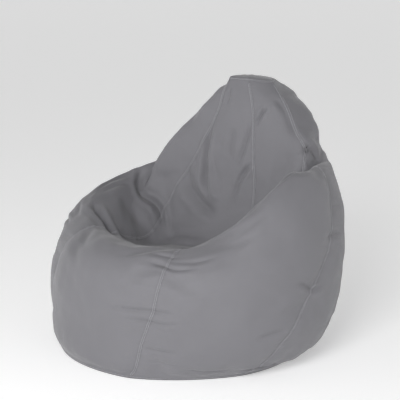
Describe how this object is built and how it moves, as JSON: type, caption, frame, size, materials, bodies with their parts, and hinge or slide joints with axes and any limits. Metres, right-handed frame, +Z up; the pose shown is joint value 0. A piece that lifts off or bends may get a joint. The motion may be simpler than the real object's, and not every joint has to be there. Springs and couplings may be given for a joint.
{
  "type": "bean bag chair",
  "caption": "Low slouching seat: a gored fabric cover drawn up to a small flat cap, round a loose bead filling, with a hollow seat, low arms, a tall back and a zip up the rear.",
  "frame": {"origin": "on the floor under the middle of the bag, on the underside of the base panel", "axes": "+Z up, the seat faces -Y, the sitter's right arm rest is towards -X"},
  "size_m": [0.9876, 0.8912, 0.876],
  "materials": {
    "cover_cloth": "satin",
    "seam_cloth": "satin",
    "thread": "satin",
    "liner_cloth": "matte",
    "filling_beads": "matte",
    "zip_tape": "matte",
    "zip_teeth": "satin",
    "zip_metal": "satin"
  },
  "bodies": {
    "bag": {"bead_filling": "filling_beads", "cover_base_panel": "cover_cloth", "cover_gore_front_left": "cover_cloth", "cover_gore_front_right": "cover_cloth", "cover_gore_left": "cover_cloth", "cover_gore_rear_left": "cover_cloth", "cover_gore_rear_right": "cover_cloth", "cover_gore_right": "cover_cloth", "cover_top_cap": "cover_cloth", "liner_base": "liner_cloth", "liner_panel_front_right": "liner_cloth", "liner_panel_left": "liner_cloth", "liner_panel_rear": "liner_cloth", "liner_top": "liner_cloth", "seam_band_base": "seam_cloth", "seam_band_cap": "seam_cloth", "seam_fell_front": "seam_cloth", "seam_fell_front_left": "seam_cloth", "seam_fell_front_right": "seam_cloth", "seam_fell_rear_left": "seam_cloth", "seam_fell_rear_lower": "seam_cloth", "seam_fell_rear_right": "seam_cloth", "seam_fell_rear_upper": "seam_cloth", "zip_bottom_stop": "zip_metal", "zip_tape_left": "zip_tape", "zip_tape_right": "zip_tape", "zip_teeth_left": "zip_teeth", "zip_teeth_right": "zip_teeth", "zip_top_stop_left": "zip_metal", "zip_top_stop_right": "zip_metal"},
    "zip_slider": {"zip_slider": "zip_metal"},
    "zip_pull": {"zip_pull": "zip_metal"}
  },
  "joints": [
    {"name": "zip_run", "type": "hinge", "parent": "bag", "child": "zip_slider", "pos_m": [0, -0.32531, 0.30562], "axis": [-1, 0, 0], "range_deg": [0, 28.5]},
    {"name": "pull_swing", "type": "hinge", "parent": "zip_slider", "child": "zip_pull", "pos_m": [0, 0.45728, 0.49764], "axis": [1, 0, 0], "range_deg": [0, 160]}
  ]
}
